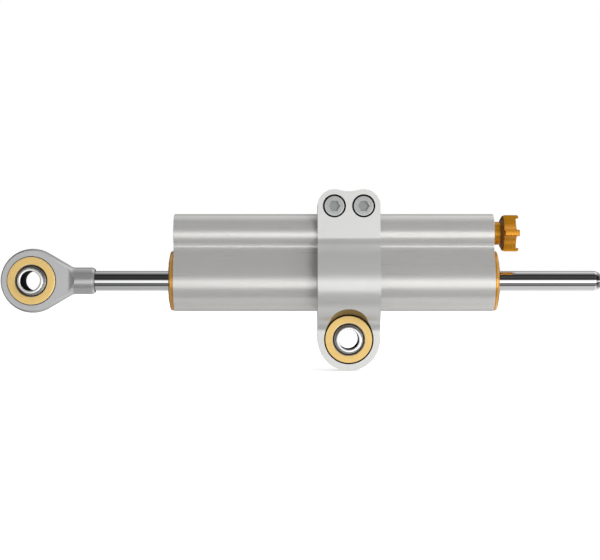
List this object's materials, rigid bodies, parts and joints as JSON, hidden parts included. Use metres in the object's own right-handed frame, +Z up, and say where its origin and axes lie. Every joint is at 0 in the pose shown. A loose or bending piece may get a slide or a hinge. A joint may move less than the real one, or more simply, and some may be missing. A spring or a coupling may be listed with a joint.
{
  "type": "motorcycle steering damper",
  "caption": "Through-rod motorcycle steering damper: twin-bore hydraulic tube with a slit clamp and a rod end, both on spherical bearings, and a click adjuster knob.",
  "frame": {"origin": "centre of the clamp's spherical bearing", "axes": "+X along the piston rod towards the adjuster knob, +Y along the clamp bearing's bore away from the bolt heads, +Z up from the bearing through the tubes"},
  "size_m": [0.2443, 0.037, 0.0733],
  "materials": {
    "silver_anodised": "satin clear-anodised extruded aluminium",
    "clamp_anodised": "satin clear-anodised milled aluminium",
    "rod_end_satin": "satin grey anodised turned aluminium",
    "gold_anodised": "gold anodised aluminium",
    "ring_gold": "pale gold anodised aluminium",
    "chrome_rod": "ground and hard-chromed steel",
    "bearing_steel": "ground bearing steel",
    "steel_zinc": "zinc-plated steel",
    "steel_dark": "oiled spring steel",
    "bronze": "bearing bronze",
    "brass_seat": "machined brass",
    "nitrile": "black nitrile rubber",
    "polyurethane": "polyurethane seal",
    "ptfe": "bronze-filled PTFE"
  },
  "bodies": {
    "damper": {"damper_body": "silver_anodised", "gland_left": "gold_anodised", "gland_right": "gold_anodised", "gland_oring_left": "nitrile", "gland_oring_right": "nitrile", "rod_bush_left": "bronze", "rod_bush_right": "bronze", "rod_seal_left": "polyurethane", "rod_seal_right": "polyurethane", "rod_wiper_left": "nitrile", "rod_wiper_right": "nitrile", "reservoir_plug": "silver_anodised", "plug_oring": "nitrile", "plug_clip": "steel_dark", "fill_screw": "steel_dark", "valve_seat": "brass_seat", "valve_seat_oring": "nitrile", "adjuster_housing": "silver_anodised", "housing_oring": "nitrile", "housing_clip": "steel_dark", "spindle_oring": "nitrile"},
    "reserve_piston": {"floating_piston": "silver_anodised", "floating_piston_oring": "nitrile"},
    "adjuster": {"adjuster_knob": "gold_anodised", "adjuster_spindle": "bearing_steel", "knob_screw": "steel_dark", "detent_balls": "bearing_steel", "detent_spring": "steel_dark"},
    "needle": {"metering_needle": "bearing_steel"},
    "piston_guide": {"piston_ring": "ptfe"},
    "rod": {"piston_rod": "chrome_rod", "piston": "silver_anodised", "piston_clips": "steel_dark", "rod_end": "rod_end_satin", "rod_end_race": "bearing_steel", "rod_end_ring_front": "ring_gold", "rod_end_ring_rear": "ring_gold"},
    "rod_ball": {"rod_end_ball": "chrome_rod"},
    "rod_sleeve": {"rod_end_sleeve": "steel_zinc"},
    "clamp": {"clamp": "clamp_anodised", "clamp_bolts": "steel_zinc", "clamp_race": "bearing_steel", "clamp_ring_front": "ring_gold", "clamp_ring_rear": "ring_gold"},
    "clamp_ball": {"clamp_ball": "chrome_rod"},
    "clamp_sleeve": {"clamp_sleeve": "steel_zinc"}
  },
  "joints": [
    {"name": "rod_slide", "type": "slide", "parent": "damper", "child": "piston_guide", "axis": [1, 0, 0], "range_m": [-0.0395, 0.0285]},
    {"name": "rod_turn", "type": "hinge", "parent": "piston_guide", "child": "rod", "pos_m": [0, 0, 0.02375], "axis": [1, 0, 0], "continuous": true},
    {"name": "clamp_slide", "type": "slide", "parent": "damper", "child": "clamp", "axis": [1, 0, 0], "range_m": [-0.058, 0.046]},
    {"name": "knob_turn", "type": "hinge", "parent": "damper", "child": "adjuster", "pos_m": [0, 0, 0.04315], "axis": [1, 0, 0], "range_deg": [-540, 540]},
    {"name": "needle_slide", "type": "slide", "parent": "damper", "child": "needle", "axis": [1, 0, 0], "range_m": [-0.00121, 0.00121]},
    {"name": "reserve_piston_slide", "type": "slide", "parent": "damper", "child": "reserve_piston", "axis": [1, 0, 0], "range_m": [-0.0035, 0.003]},
    {"name": "rod_ball_tilt", "type": "hinge", "parent": "rod", "child": "rod_ball", "pos_m": [-0.1287, 0, 0.02375], "axis": [0, 0, 1], "range_deg": [-9, 9]},
    {"name": "rod_sleeve_spin", "type": "hinge", "parent": "rod_ball", "child": "rod_sleeve", "pos_m": [-0.1287, 0, 0.02375], "axis": [0, 1, 0], "continuous": true},
    {"name": "clamp_ball_tilt", "type": "hinge", "parent": "clamp", "child": "clamp_ball", "pos_m": [0, 0, 0], "axis": [0, 0, 1], "range_deg": [-9, 9]},
    {"name": "clamp_sleeve_spin", "type": "hinge", "parent": "clamp_ball", "child": "clamp_sleeve", "pos_m": [0, 0, 0], "axis": [0, 1, 0], "continuous": true}
  ],
  "couplings": [
    {"joint": "needle_slide", "follows": "knob_turn", "m_per_rad": 0.00012732}
  ]
}
